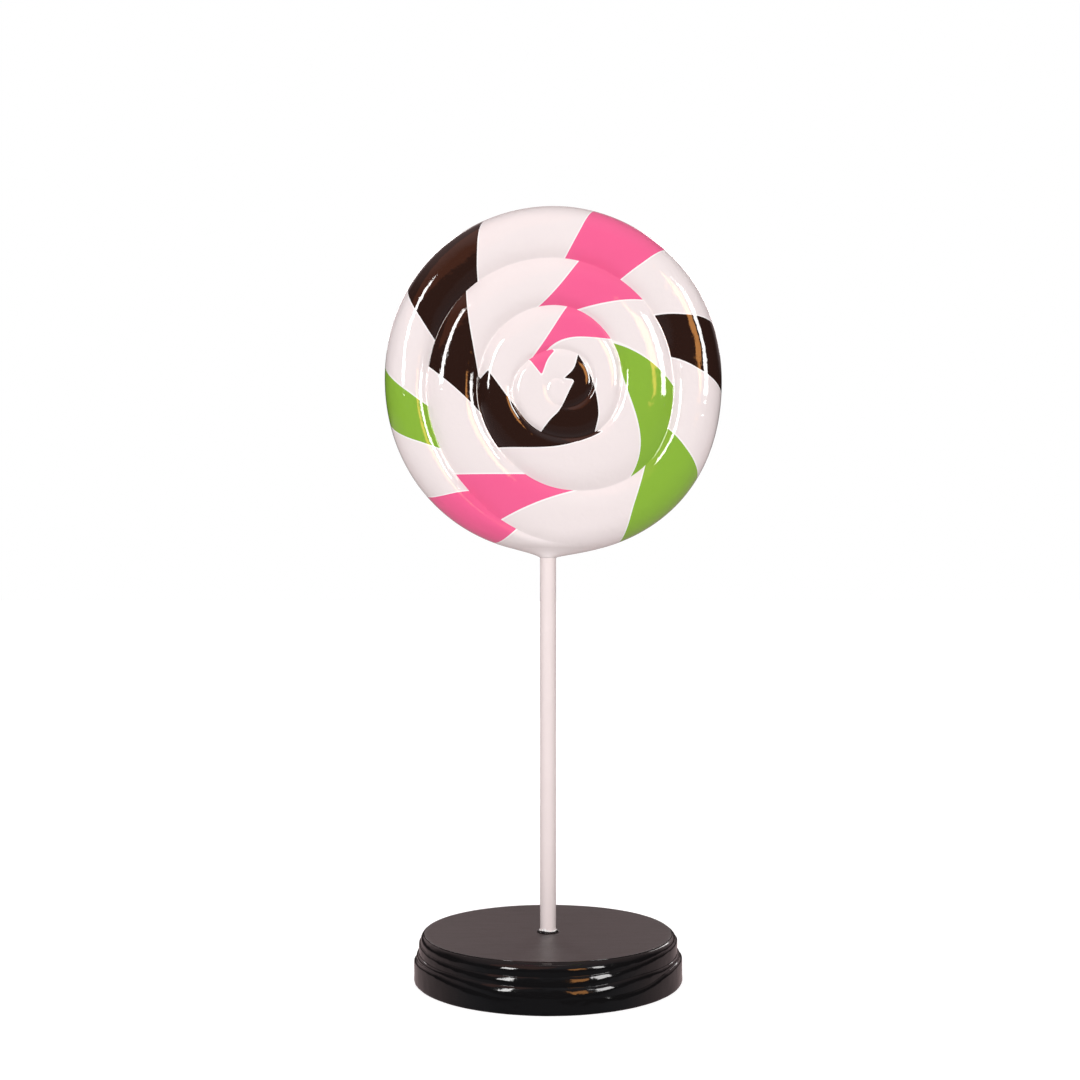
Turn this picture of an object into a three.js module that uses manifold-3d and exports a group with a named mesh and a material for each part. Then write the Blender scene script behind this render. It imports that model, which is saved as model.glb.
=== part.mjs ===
// A swirl lollipop display figure: a big glossy disc made like a rope of sugar coiled flat,
// on a white round pole that stands in a round black foot with uneven hand-laid layers.
// Millimetres, +Z up. The origin is the middle of the foot's underside, and the disc faces -Y.
import * as THREE from 'three';
import { mergeVertices } from 'three/addons/utils/BufferGeometryUtils.js';
import Module from 'manifold-3d';

// Driving dimensions
const FOOT_HEIGHT = 55;
// The layers of the foot's side, from the ground up: [the height of a layer's top, its radius]
const FOOT_LAYERS = [
  [20, 158.5],
  [31, 156],
  [41, 153.2],
];
const FOOT_LIP_RADIUS = 150.6; // the top layer, whose lip rounds over to the flat top
const FOOT_LIP_BOTTOM = 47;
const FOOT_FLAT_RADIUS = 140.5;
const FOOT_SHOULDER = 4; // the height of each layer's rounded shoulder
const FOOT_EDGE_ROUNDING = 3.5; // the side tucks in by this much at the ground
const POLE_DIAMETER = 19;
const POLE_IN_FOOT = 30; // the length of pole sunk in the foot
const POLE_IN_DISC = 32;
const SOCKET_CLEARANCE = 0.3;
const POLE_CHAMFER = 1;
const COLLAR_DROP = 4; // the fillet round the pole hangs this far below the disc
const COLLAR_WALL = 2; // how thick it is at its bottom
const COLLAR_FLARE = 8; // how far out of the pole it reaches where it meets the disc
const COLLAR_CHAMFER = 0.5;
const DISC_CENTRE_X = 16; // the swirl's middle lies a little to the right of the pole
const DISC_CENTRE_HEIGHT = 699;
const RIM_HALF_THICKNESS = 24; // half the disc's thickness where its rounded rim ends
const RIM_ROUNDING = 30; // how far in from the outline the rim goes on rounding
const DOME_RISE = 8; // how much higher the middle stands than the rim, on each face
const TAIL_TIP = 0.94; // the turn at which the rope's tail leaves the outline
const ROPE_CREST = 0.55; // where across the rope its top runs, from its outer to its inner edge

// The disc's outline: its radius at every eighth of a turn, clockwise from the bottom as seen
// from the front.
const OUTLINE_RADII = [197, 204.5, 209, 217.5, 214, 201.5, 189.5, 195];
// The groove between the rope's coils: its radius at every eighth of a turn, from the first
// pass of the bottom inward to the middle. Each row is a full turn.
const GROOVE_RADII = [
  [184, 163, 158, 157.5, 149.5, 138, 131, 135],
  [121, 104, 98.5, 98.5, 93.5, 79.5, 69.5, 68],
  [61, 58.5, 57.5, 47, 42, 40, 35.5, 30],
  [25, 21, 17, 11, 6, 3, 0],
].flat();
// How deep the groove is cut under the rope's top: [turn, depth].
const GROOVE_DEPTHS = [
  [1, 0],
  [1.15, 8],
  [2.3, 8],
  [3, 5],
  [3.6, 4],
  [3.8, 1],
  [4.1, 1],
  [4.35, 3],
  [4.75, 0],
];

// How finely the faceted solids are cut
const COLUMNS_PER_TURN = 60;
const ROWS_ACROSS_ROPE = 6;
const FOOT_SIDES = 72;
const POLE_SIDES = 40;
const CORNER_STEPS = 4;
const RADII_PER_TURN = 8; // the outline and the groove are given at eighths of a turn
const FULL_TURN = 2 * Math.PI;

const GROOVE_END = 1 + (GROOVE_RADII.length - 1) / RADII_PER_TURN;
const POLE_RADIUS = POLE_DIAMETER / 2;
const SOCKET_RADIUS = POLE_RADIUS + SOCKET_CLEARANCE;
const DISC_BOTTOM = DISC_CENTRE_HEIGHT - OUTLINE_RADII[0];

const smoothStep = (from, to, at) => THREE.MathUtils.smoothstep(at, from, to);

/** A smooth curve through values that lie one step apart, read at any step. */
function smoothThrough(valueAt, step) {
  const first = Math.floor(step);
  const [before, a, b, after] = [-1, 0, 1, 2].map((offset) => valueAt(first + offset));
  const x = step - first;
  const slopeA = (b - before) / 2;
  const slopeB = (after - a) / 2;
  return (
    a * (1 + 2 * x) * (1 - x) ** 2 + slopeA * x * (1 - x) ** 2 +
    b * (3 - 2 * x) * x ** 2 - slopeB * (1 - x) * x ** 2
  );
}

/** The outline's radius at a turn, counted from the bottom. */
function outlineRadius(turn) {
  const count = OUTLINE_RADII.length;
  const valueAt = (index) => OUTLINE_RADII[((index % count) + count) % count];
  return smoothThrough(valueAt, turn * RADII_PER_TURN);
}

/** The groove's radius at a turn. It starts at turn 1, and past its end it stays in the middle. */
function grooveRadius(turn) {
  const last = GROOVE_RADII.length - 1;
  const valueAt = (index) => {
    if (index < 0) return OUTLINE_RADII[OUTLINE_RADII.length + index];
    return index > last ? 0 : GROOVE_RADII[index];
  };
  return Math.max(0, smoothThrough(valueAt, (turn - 1) * RADII_PER_TURN));
}

/** The rope's outer edge: the outline for the first turn, then the groove it has left behind. */
function edgeRadius(turn) {
  if (turn <= TAIL_TIP) return outlineRadius(turn);
  if (turn >= GROOVE_END) return 0;
  const opened = smoothStep(TAIL_TIP, 1, turn);
  return outlineRadius(turn) * (1 - opened) + grooveRadius(turn) * opened;
}

function grooveDepth(turn) {
  if (turn <= GROOVE_DEPTHS[0][0]) return 0;
  const next = GROOVE_DEPTHS.findIndex(([at]) => at > turn);
  if (next < 0) return 0;
  const [[fromTurn, fromDepth], [toTurn, toDepth]] = [GROOVE_DEPTHS[next - 1], GROOVE_DEPTHS[next]];
  return THREE.MathUtils.lerp(fromDepth, toDepth, smoothStep(fromTurn, toTurn, turn));
}

/** Half the disc's thickness under the plain rounded and domed form, without its grooves. */
function plainHalfThickness(turn, radius) {
  const outline = outlineRadius(turn);
  const inFromOutline = Math.min(Math.max(outline - radius, 0), RIM_ROUNDING);
  const rounding = Math.sqrt(1 - (1 - inFromOutline / RIM_ROUNDING) ** 2);
  return RIM_HALF_THICKNESS * rounding + DOME_RISE * (1 - (radius / outline) ** 2);
}

/** How far across the rope a row lies. Rows crowd to the outline, where the rim turns steeply. */
function acrossAt(row, turn) {
  const even = row / ROWS_ACROSS_ROPE;
  const crowded = 1 - Math.cos((even * Math.PI) / 2);
  return THREE.MathUtils.lerp(crowded, even, smoothStep(TAIL_TIP, 1.1, turn));
}

/** A point of the disc's front face: [x, half thickness, z], from the swirl's middle. */
function ropePoint(turn, row) {
  const outer = edgeRadius(turn);
  const inner = edgeRadius(turn + 1);
  const across = acrossAt(row, turn);
  const radius = THREE.MathUtils.lerp(outer, inner, across);
  const plain = plainHalfThickness(turn, radius);
  const outerFlank = Math.max(0, 1 - across / ROPE_CREST) ** 2;
  const innerFlank = Math.max(0, (across - ROPE_CREST) / (1 - ROPE_CREST)) ** 2;
  const cut = grooveDepth(turn) * outerFlank + grooveDepth(turn + 1) * innerFlank;
  const half = plain - cut * Math.min(1, plain / RIM_HALF_THICKNESS);
  const angle = turn * FULL_TURN;
  return [-radius * Math.sin(angle), half, -radius * Math.cos(angle)];
}

/** The coiled disc as one closed mesh about its middle: the front face and its mirrored back. */
function coiledDisc() {
  const firstTurn = TAIL_TIP - 1;
  const columns = Math.ceil((GROOVE_END - firstTurn) * COLUMNS_PER_TURN);
  const turnAt = (column) => Math.min(firstTurn + column / COLUMNS_PER_TURN, GROOVE_END);
  const triangles = [];
  const addFace = (...points) => {
    const back = points.map(([x, half, z]) => [x, half, z]);
    const front = points.map(([x, half, z]) => [x, -half, z]).reverse();
    triangles.push(...back.flat(), ...front.flat());
  };
  for (let column = 0; column < columns; column++) {
    for (let row = 0; row < ROWS_ACROSS_ROPE; row++) {
      const a = ropePoint(turnAt(column), row);
      const b = ropePoint(turnAt(column + 1), row);
      const c = ropePoint(turnAt(column + 1), row + 1);
      const d = ropePoint(turnAt(column), row + 1);
      addFace(a, b, c);
      addFace(a, c, d);
    }
  }
  const loose = new THREE.BufferGeometry();
  loose.setAttribute('position', new THREE.Float32BufferAttribute(triangles, 3));
  return withoutSlivers(mergeVertices(loose, 1e-3));
}

/** Drops the triangles that merging has closed up to a line or a point. */
function withoutSlivers(geometry) {
  const index = geometry.getIndex().array;
  const kept = [];
  for (let i = 0; i < index.length; i += 3) {
    const [a, b, c] = index.slice(i, i + 3);
    if (a !== b && b !== c && c !== a) kept.push(a, b, c);
  }
  geometry.setIndex(kept);
  return geometry;
}

/** A turned shape about the Z axis, from a profile of [radius, height] points. */
function turned(profile, sides) {
  const points = profile.map(([radius, height]) => new THREE.Vector2(radius, height));
  return new THREE.LatheGeometry(points, sides).rotateX(Math.PI / 2);
}

/** A quarter arc of a turned profile, from one [radius, height] to another. */
function roundedCorner([r0, h0], [r1, h1], startsUpright) {
  return Array.from({ length: CORNER_STEPS + 1 }, (_, i) => {
    const angle = (i / CORNER_STEPS) * (Math.PI / 2);
    const [far, near] = [Math.sin(angle), 1 - Math.cos(angle)];
    const [r, h] = startsUpright ? [near, far] : [far, near];
    return [r0 + (r1 - r0) * r, h0 + (h1 - h0) * h];
  });
}

const wasm = await Module();
wasm.setup();

/** A closed geometry as a solid that can be joined and cut. */
function solidOf(geometry) {
  const bare = geometry.clone();
  bare.deleteAttribute('normal');
  bare.deleteAttribute('uv');
  const merged = withoutSlivers(mergeVertices(bare, 1e-4));
  return new wasm.Manifold(
    new wasm.Mesh({
      numProp: 3,
      vertProperties: new Float32Array(merged.getAttribute('position').array),
      triVerts: new Uint32Array(merged.getIndex().array),
    }),
  );
}

function geometryOf(solid) {
  const mesh = solid.getMesh();
  const geometry = new THREE.BufferGeometry();
  geometry.setAttribute('position', new THREE.BufferAttribute(mesh.vertProperties, 3));
  geometry.setIndex(new THREE.BufferAttribute(mesh.triVerts, 1));
  geometry.computeVertexNormals();
  return geometry;
}

// The disc, with a short collar round the pole and the blind socket that the pole sits in
function swirlDisc() {
  const disc = solidOf(coiledDisc().translate(DISC_CENTRE_X, 0, DISC_CENTRE_HEIGHT));
  const collarBottom = DISC_BOTTOM - COLLAR_DROP;
  const collarRadius = POLE_RADIUS + COLLAR_WALL;
  const collar = turned(
    [
      [0, collarBottom],
      [collarRadius - COLLAR_CHAMFER, collarBottom],
      ...roundedCorner(
        [collarRadius, collarBottom + COLLAR_CHAMFER],
        [POLE_RADIUS + COLLAR_FLARE, DISC_BOTTOM + COLLAR_DROP],
        true,
      ),
      [0, DISC_BOTTOM + COLLAR_FLARE],
    ],
    POLE_SIDES,
  );
  const socketTop = DISC_BOTTOM + POLE_IN_DISC + SOCKET_CLEARANCE;
  const socketMouth = collarBottom - COLLAR_DROP; // well out of the collar, so that the cut is open
  const socket = turned(
    [
      [0, socketMouth],
      [SOCKET_RADIUS, socketMouth],
      [SOCKET_RADIUS, socketTop],
      [0, socketTop],
    ],
    POLE_SIDES,
  );
  return geometryOf(disc.add(solidOf(collar)).subtract(solidOf(socket)));
}

// The pole, a plain round bar with broken ends
function pole() {
  const bottom = FOOT_HEIGHT - POLE_IN_FOOT;
  const top = DISC_BOTTOM + POLE_IN_DISC;
  return turned(
    [
      [0, bottom],
      [POLE_RADIUS - POLE_CHAMFER, bottom],
      [POLE_RADIUS, bottom + POLE_CHAMFER],
      [POLE_RADIUS, top - POLE_CHAMFER],
      [POLE_RADIUS - POLE_CHAMFER, top],
      [0, top],
    ],
    POLE_SIDES,
  );
}

/** One layer of the foot's side: an upright wall, and a shoulder that steps in to the next layer. */
function footLayer([top, radius], index) {
  const nextRadius = index + 1 < FOOT_LAYERS.length ? FOOT_LAYERS[index + 1][1] : FOOT_LIP_RADIUS;
  return roundedCorner([radius, top - FOOT_SHOULDER], [nextRadius, top], true);
}

// The foot: a side of stepped layers under a rounded lip, with a socket for the pole
function foot() {
  const lowestRadius = FOOT_LAYERS[0][1];
  const socketFloor = FOOT_HEIGHT - POLE_IN_FOOT - SOCKET_CLEARANCE;
  return turned(
    [
      [0, 0],
      ...roundedCorner(
        [lowestRadius - FOOT_EDGE_ROUNDING, 0],
        [lowestRadius, FOOT_EDGE_ROUNDING],
        false,
      ),
      ...FOOT_LAYERS.flatMap(footLayer),
      ...roundedCorner([FOOT_LIP_RADIUS, FOOT_LIP_BOTTOM], [FOOT_FLAT_RADIUS, FOOT_HEIGHT], true),
      [SOCKET_RADIUS, FOOT_HEIGHT],
      [SOCKET_RADIUS, socketFloor],
      [0, socketFloor],
    ],
    FOOT_SIDES,
  );
}

function piece(name, geometry, material) {
  const mesh = new THREE.Mesh(geometry, new THREE.MeshStandardMaterial(material));
  mesh.name = name;
  return mesh;
}

const lollipop = new THREE.Group();
lollipop.add(
  piece('swirl_disc', swirlDisc(), { color: '#f4ecec', roughness: 0.12, metalness: 0 }),
  piece('pole', pole(), { color: '#ece4e4', roughness: 0.3, metalness: 0 }),
  piece('foot', foot(), { color: '#161415', roughness: 0.18, metalness: 0 }),
);

export default lollipop;
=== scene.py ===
# Swirl lollipop display prop: a big glossy disc, coiled like a rope of sugar and painted with
# stripes, on a slim white pole in a round black foot laid up by hand.
# Metres, +Z up. The origin is the middle of the foot's underside, and the disc faces -Y.
# A turn is a full circle round the swirl's middle, counted clockwise from the bottom as seen
# from the front, and it goes on counting along the rope from the outline to the middle.
import math

import bpy
import numpy as np
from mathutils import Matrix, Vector, noise
from mathutils.bvhtree import BVHTree


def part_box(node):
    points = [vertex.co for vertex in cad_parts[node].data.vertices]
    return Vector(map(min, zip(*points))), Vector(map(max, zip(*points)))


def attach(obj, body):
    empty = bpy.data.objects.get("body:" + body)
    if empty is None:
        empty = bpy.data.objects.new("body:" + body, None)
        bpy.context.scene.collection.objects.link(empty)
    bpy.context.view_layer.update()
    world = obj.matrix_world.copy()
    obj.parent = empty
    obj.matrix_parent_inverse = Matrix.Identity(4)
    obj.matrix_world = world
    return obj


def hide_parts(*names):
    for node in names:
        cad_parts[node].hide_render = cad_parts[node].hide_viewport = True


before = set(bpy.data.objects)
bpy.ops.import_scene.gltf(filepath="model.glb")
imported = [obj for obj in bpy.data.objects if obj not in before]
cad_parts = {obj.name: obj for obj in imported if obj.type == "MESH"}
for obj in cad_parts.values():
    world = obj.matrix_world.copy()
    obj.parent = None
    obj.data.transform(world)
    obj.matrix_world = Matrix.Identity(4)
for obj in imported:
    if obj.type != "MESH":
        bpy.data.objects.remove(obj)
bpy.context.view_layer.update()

MM = 0.001
FULL_TURN = 2 * math.pi

# ---------------------------------------------------------------- sizes taken from the frame
pole_low, pole_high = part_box("pole")
foot_low, foot_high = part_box("foot")
disc_low, disc_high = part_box("swirl_disc")
POLE_RADIUS = pole_high.x
FOOT_HEIGHT = foot_high.z

# ---------------------------------------------------------------- the swirl's driving sizes
DISC_CENTRE = Vector((0.016, 0, 0.699))
RADII_PER_TURN = 8
OUTLINE_RADII = MM * np.array([197, 204.5, 209, 217.5, 214, 201.5, 189.5, 195])
# The groove between the coils, from the first pass of the bottom inward. Each row is a turn.
GROOVE_RADII = MM * np.array(
    [184, 163, 158, 157.5, 149.5, 138, 131, 135]
    + [121, 104, 98.5, 98.5, 93.5, 79.5, 69.5, 68]
    + [61, 58.5, 57.5, 47, 42, 40, 35.5, 30]
    + [25, 21, 17, 11, 6, 3, 0]
)
# How deep the groove is cut under the rope's top: (turn, depth)
GROOVE_DEPTHS = [
    (0.99, 0),
    (1.05, 5 * MM),
    (1.15, 8 * MM),
    (2.3, 8 * MM),
    (3, 5 * MM),
    (3.6, 4 * MM),
    (3.85, 3 * MM),
    (4.1, 1.3 * MM),
    (4.35, 1.6 * MM),
    (4.75, 0),
]
RIM_HALF_THICKNESS = 24 * MM
RIM_ROUNDING = 30 * MM
DOME_RISE = 8 * MM
TAIL_TIP = 0.94  # the tip of the rope's tail, where its outer edge starts to leave the outline
ROPE_CREST = 0.55  # where the rope's crest runs, as a share of its width from the outer edge
GROOVE_FILLET = 1 * MM
# 2 gives the rope round flanks, and more turns them down closer to the grooves
OUTER_CROWDING = 2.7
INNER_CROWDING = 5.2
INNER_COILS_START = (2.2, 3.5)  # the turns between which the outer crowding becomes the inner one
INNER_COILS_END = (3.9, 4.3)  # and those between which it goes back
HAND_WAVINESS = 1.2 * MM
HAND_WAVES_PER_METRE = 22.0
GROOVE_END = 1 + (len(GROOVE_RADII) - 1) / RADII_PER_TURN
FIRST_TURN = TAIL_TIP - 1
ROPE_END_RADIUS = 1.2 * MM  # inside this the rope's end is gathered in one point
SEAM_MARGIN = 0.002 * MM  # the outermost points count as on the outline, so the rim closes
WELD_DISTANCE = 0.02 * MM
COLUMNS_PER_TURN = 300
ROPE_COLUMNS = math.ceil((GROOVE_END - FIRST_TURN) * COLUMNS_PER_TURN)
ROWS_ACROSS_ROPE = 30

# ---------------------------------------------------------------- the paint's driving sizes
# Stripes along the rope, white between them: the paint, then its first and its last masked line.
# A line gives the turns at which it meets the rope's outer and inner edge, and by how many mm two
# humps push it towards later turns, one highest a third of the way in and one two thirds.
STRIPES = [
    ("pink", (0.066, 0.049, 0, 0), (0.142, 0.115, 1, 1)),
    ("green", (0.218, 0.174, -1, -1), (0.271, 0.226, -1, -1.5)),
    ("brown", (0.344, 0.305, -1.5, -1), (0.434, 0.392, -1.5, -2)),
    ("pink", (0.531, 0.504, -0.5, 0), (0.606, 0.580, -0.5, -0.5)),
    ("brown", (0.692, 0.647, -2, -3), (0.760, 0.709, -2, -4)),
    ("green", (0.847, 0.811, -2, -3.5), (0.945, 0.871, 1.5, -0.5)),
    ("pink", (1.068, 0.982, 2, 2), (1.139, 1.062, 0, 0)),
    ("brown", (1.273, 1.197, 1, 1.5), (1.374, 1.268, -1.5, 0)),
    ("pink", (1.522, 1.454, 1, 2), (1.620, 1.531, -2, -1)),
    ("green", (1.751, 1.641, -4.5, -4), (1.897, 1.712, -13.5, -3)),
    ("brown", (2.127, 1.878, -3, -10), (2.297, 2.072, -1, -3)),
    ("pink", (2.511, 2.372, 0, 1), (2.629, 2.433, -2, -8.5)),
]
STRIPE_MARGIN = 0.1  # how far a stripe's lines may lie from its four crossings, in turns
LINE_STEPS = 41
HUMP_SCALE = 6.75  # brings x * (1 - x)**2 to 1 where it is highest
LEAST_SQUARENESS = 0.3  # how squarely a line is taken to cross the rope, at the least
# Patches painted freehand near the middle: the paint, the turn on the rope from which on it
# counts, and its sides, each a smooth curve through (x, z) points from the swirl's middle in mm.
PATCHES = [
    (
        "brown",
        2.6,
        [
            [(19, 36), (35, 7), (42.5, -30), (38, -56)],
            [(38, -56), (30, -74), (-18, -74), (-27, -58)],
            [(-27, -58), (-14, -41), (-2, -28), (9.5, -5), (14, 4)],
            [(14, 4), (12, 6.5), (3, 8)],
            [(3, 8), (14, 19.5), (19, 36)],
        ],
    ),
    (
        "pink",
        3.2,
        [
            [(-36.5, 28.5), (-42, 34), (-30, 56), (-9, 40)],
            [(-9, 40), (-17, 29), (-23.5, 12)],
            [(-23.5, 12), (-36.5, 28.5)],
        ],
    ),
    (
        "brown",
        1.8,
        [
            [(20, -60), (38.6, -54.4), (46.8, -53.8)],
            [(46.8, -53.8), (38.6, -58.2), (28.9, -62.2), (19, -65.6)],
            [(19, -65.6), (20, -60)],
        ],
    ),
    (
        "white",
        2.2,
        [
            [(-84.6, 19.4), (-95, 8)],
            [(-95, 8), (-104, 20), (-94, 37)],
            [(-94, 37), (-84.6, 19.4)],
        ],
    ),
]

# ---------------------------------------------------------------- the foot's driving sizes
# The foot is laid up in wavering layers, each a little wider than the one above it. Each row
# gives the heights of one layer's top edge every 20 degrees, from the front round to the right.
LEDGE_HEIGHTS = MM * np.array(
    [
        [17, 17.5, 18.8, 27.3, 30.0, 28, 25, 22, 21, 24, 26.5, 25, 22, 24.5, 27.4, 29, 25, 17.5],
        [30, 29.7, 33.4, 33.0, 33.0, 33.5, 35, 34, 32, 31, 32.5, 34, 33.5, 33.2, 33, 33, 33, 30.5],
        [40.5, 41.3, 45, 49, 49.8, 48.5, 46, 44, 42.5, 42, 43, 45, 47, 46.5, 45.2, 43, 41.4, 40.5],
    ]
)
# The radii of the layers' walls and of the flat top every 60 degrees, from the front
WALL_RADII = MM * np.array(
    [
        [158.1, 158.1, 158.1, 158.1, 158.1, 158.1],
        [157.6, 155.3, 155.3, 155.3, 155.3, 155.3],
        [153.6, 152.4, 152.4, 152.4, 152.4, 152.4],
        [150.2, 150.4, 150.4, 150.4, 150.4, 150.4],
    ]
)
FLAT_RADII = MM * np.array([140.4, 145.5, 146, 142.5, 146, 145.5])
WALL_SHOULDERS = MM * np.array([11, 5.5, 5, 5, 5, 5.5])
MOST_SHOULDER = 0.92  # the most of a layer's height that its rounded shoulder may take
LIP_SHOULDER = 7.8 * MM
WALL_SLANTS = [1.6, 5, 6, 6, 6, 5]  # 1 gives a straight slope under a ledge, more a shelf
WALL_SWAY = 0.25 * MM
LIP_TOP = 53.8 * MM
LIP_END_SLOPE = 0.325  # how steeply the lip still rises where it meets the flat's edge
# The flat's rounded edge: how far in and up it goes, as shares of its rise above the lip
FLAT_EDGE = [(0.15, 0.5), (0.3, 0.85)]
FLAT_EDGE_WIDTH = 0.8 * MM
FOOT_BOTTOM_ROUNDING = 2 * MM
# Lumps left in the walls by hand: how high in mm, how wide in m, and a seed for each size
WALL_LUMPS = [(0.3, 0.026, 1), (0.2, 0.009, 2)]
LUMP_STRETCH = np.array([1, 1, 2.6])  # by how much they are narrower upwards
FLAT_DIP = 0.3  # how far the flat sinks on average, in mm, and how far it wavers about that
FLAT_WAVE_SIZE = 0.035
FLAT_WAVE_STRETCH = np.array([0.45, 1, 1])
FLAT_BORDER = 0.1  # the share of the flat, at its edge and by the pole, over which it levels out
SOCKET_CLEARANCE = 0.3 * MM
SOCKET_RADIUS = POLE_RADIUS + SOCKET_CLEARANCE
FOOT_COLUMNS = 480
WALL_ROWS_UP = (0.08, 0.35, 0.7)  # where a wall has rows of points, as shares of its height
SHOULDER_ROWS = 9
FLAT_ROWS = 22

# ---------------------------------------------------------------- pole, seal and collar sizes
POLE_COLUMNS = 96
POLE_ROWS = 90
POLE_CHAMFER = 1 * MM
POLE_END = 5 * MM  # the length at each end that has no rows of points but those of the chamfer
POLE_UNEVENNESS = 0.05 * MM
POLE_WAVE_SIZE = 0.02
POLE_WAVE_STRETCH = np.array([1, 1, 0.5])
# The sections of two rings laid by hand round the pole's foot: points (radius, height) in mm
SEALANT_PROFILE = [(9.4, -0.5), (12.2, -0.5), (12.0, 0.6), (11.5, 1.3), (10.6, 1.7), (9.4, 1.8)]
BEAD_PROFILE = [(9.4, 1.5), (10.2, 1.6), (10.6, 2.2), (10.3, 2.9), (9.4, 3.4)]
SEAL_UNEVENNESS = 0.9
COLLAR_BOTTOM = 497.2 * MM
COLLAR_REACH_LEFT = 46 * MM
COLLAR_REACH_RIGHT = 72 * MM
COLLAR_REACH_BACK = 17 * MM
COLLAR_SPREAD = 1.4  # more than 1 crowds its rows towards the pole
COLLAR_ROOT = 6 * MM  # how far its inner wall reaches up beside the pole, hidden in the disc
COLLAR_TUCK = 0.4 * MM  # how far its outer edge is tucked into the disc
COLLAR_TUCK_FROM = 0.8  # the share of its width from which on it is tucked in
COLLAR_COLUMNS = 96
COLLAR_ROWS = 20
BESIDE_SEAM = 0.02 * MM


def smooth_step(start, end, at):
    x = np.clip((at - start) / (end - start), 0, 1)
    return x * x * (3 - 2 * x)


def smooth_through(value_at, steps):
    """A smooth curve through values that lie one step apart, read at any steps."""
    first = np.floor(steps).astype(int)
    before, a, b, after = (value_at(first + offset) for offset in (-1, 0, 1, 2))
    x = steps - first
    slope_a, slope_b = (b - before) / 2, (after - a) / 2
    start = a * (1 + 2 * x) + slope_a * x
    end = b * (3 - 2 * x) - slope_b * (1 - x)
    return start * (1 - x) ** 2 + end * x**2


def round_trip(values, turns):
    """A closed smooth curve through values spread evenly over a turn."""
    values = np.asarray(values)
    return smooth_through(lambda i: values[np.mod(i, len(values))], turns * len(values))


def outline_radius(turns):
    return round_trip(OUTLINE_RADII, turns)


def edge_radius(turns):
    """The rope's outer edge: the outline for the first turn, then the groove it has left."""
    padded = np.concatenate([OUTLINE_RADII[-1:], GROOVE_RADII, np.zeros(1)])
    groove = smooth_through(
        lambda i: padded[np.clip(i + 1, 0, len(padded) - 1)], (turns - 1) * RADII_PER_TURN
    )
    opened = smooth_step(TAIL_TIP, 1, turns)
    edge = outline_radius(turns) * (1 - opened) + np.maximum(groove, 0) * opened
    return np.where(turns >= GROOVE_END, 0, edge)


def groove_depth(turns):
    """The groove's depth at a turn, eased between the listed ones."""
    depth = np.zeros_like(turns)
    for (start, from_depth), (end, to_depth) in zip(GROOVE_DEPTHS, GROOVE_DEPTHS[1:]):
        eased = from_depth + (to_depth - from_depth) * smooth_step(start, end, turns)
        depth = np.where((turns > start) & (turns <= end), eased, depth)
    return depth


# ---------------------------------------------------------------- node trees
class Tree:
    """Adds nodes to a node tree. An input is a plain value or another node's output."""

    def __init__(self, tree):
        self.nodes = tree.nodes
        self.links = tree.links

    def add(self, kind, inputs=(), **settings):
        node = self.nodes.new(kind)
        for name, value in settings.items():
            setattr(node, name, value)
        named = inputs.items() if isinstance(inputs, dict) else enumerate(inputs)
        for key, value in named:
            if isinstance(value, bpy.types.NodeSocket):
                self.links.new(value, node.inputs[key])
            elif value is not None:
                node.inputs[key].default_value = value
        return node.outputs

    def math(self, operation, *values):
        return self.add("ShaderNodeMath", values, operation=operation)[0]

    def vector(self, operation, *values):
        return self.add("ShaderNodeVectorMath", values, operation=operation)[0]

    def scale(self, vector, factor):
        return self.vector("SCALE", vector, None, None, factor)

    def measure(self, operation, *vectors):
        """A vector's length, or the distance between two."""
        return self.add("ShaderNodeVectorMath", vectors, operation=operation)["Value"]

    def square(self, value):
        return self.math("MULTIPLY", value, value)

    def mix_colors(self, share, low, high):
        """A colour between two others."""
        return self.add("ShaderNodeMix", {0: share, 6: low, 7: high}, data_type="RGBA")[2]

    def ease(self, value, start, end, low=0.0, high=1.0):
        """Low before start, high after end, and a smooth way between them."""
        ease = self.add(
            "ShaderNodeMapRange", (value, start, end, low, high), interpolation_type="SMOOTHSTEP"
        )
        return ease[0]


def new_group(name, kind, inputs, outputs):
    """A node group with named sockets, each given as (name, socket type[, value])."""
    group = bpy.data.node_groups.new(name, kind)
    for direction, sockets in (("INPUT", inputs), ("OUTPUT", outputs)):
        for socket_name, socket_type, *value in sockets:
            socket = group.interface.new_socket(
                socket_name, in_out=direction, socket_type="NodeSocket" + socket_type
            )
            if value:
                socket.default_value = value[0]
    tree = Tree(group)
    given = tree.add("NodeGroupInput")
    wanted = group.nodes.new("NodeGroupOutput").inputs
    return group, tree, given, wanted


def new_object(name, data):
    made = bpy.data.objects.new(name, data)
    bpy.context.scene.collection.objects.link(made)
    return made


# ---------------------------------------------------------------- the coiled disc
def rope_edge_path():
    """The line of the rope's edge, a point for each column, with what changes along it."""
    last = ROPE_COLUMNS + COLUMNS_PER_TURN
    turns = FIRST_TURN + np.arange(last + 1) / COLUMNS_PER_TURN
    edge = edge_radius(turns)
    angle = turns * FULL_TURN
    points = np.stack([-edge * np.sin(angle), 0 * edge, -edge * np.cos(angle)], axis=1)
    mesh = bpy.data.meshes.new("rope_edge_path")
    mesh.from_pydata(points.tolist(), [], [])
    inner_share = smooth_step(*INNER_COILS_START, turns)
    inner_share *= 1 - smooth_step(*INNER_COILS_END, turns)
    crowding = OUTER_CROWDING + (INNER_CROWDING - OUTER_CROWDING) * inner_share
    facts = {
        "turn": turns,
        "outline": outline_radius(turns),
        "depth": groove_depth(turns),
        "crowding": crowding,
    }
    for name, values in facts.items():
        mesh.attributes.new(name, "FLOAT", "POINT").data.foreach_set("value", values)
    return new_object("rope_edge_path", mesh)


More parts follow.
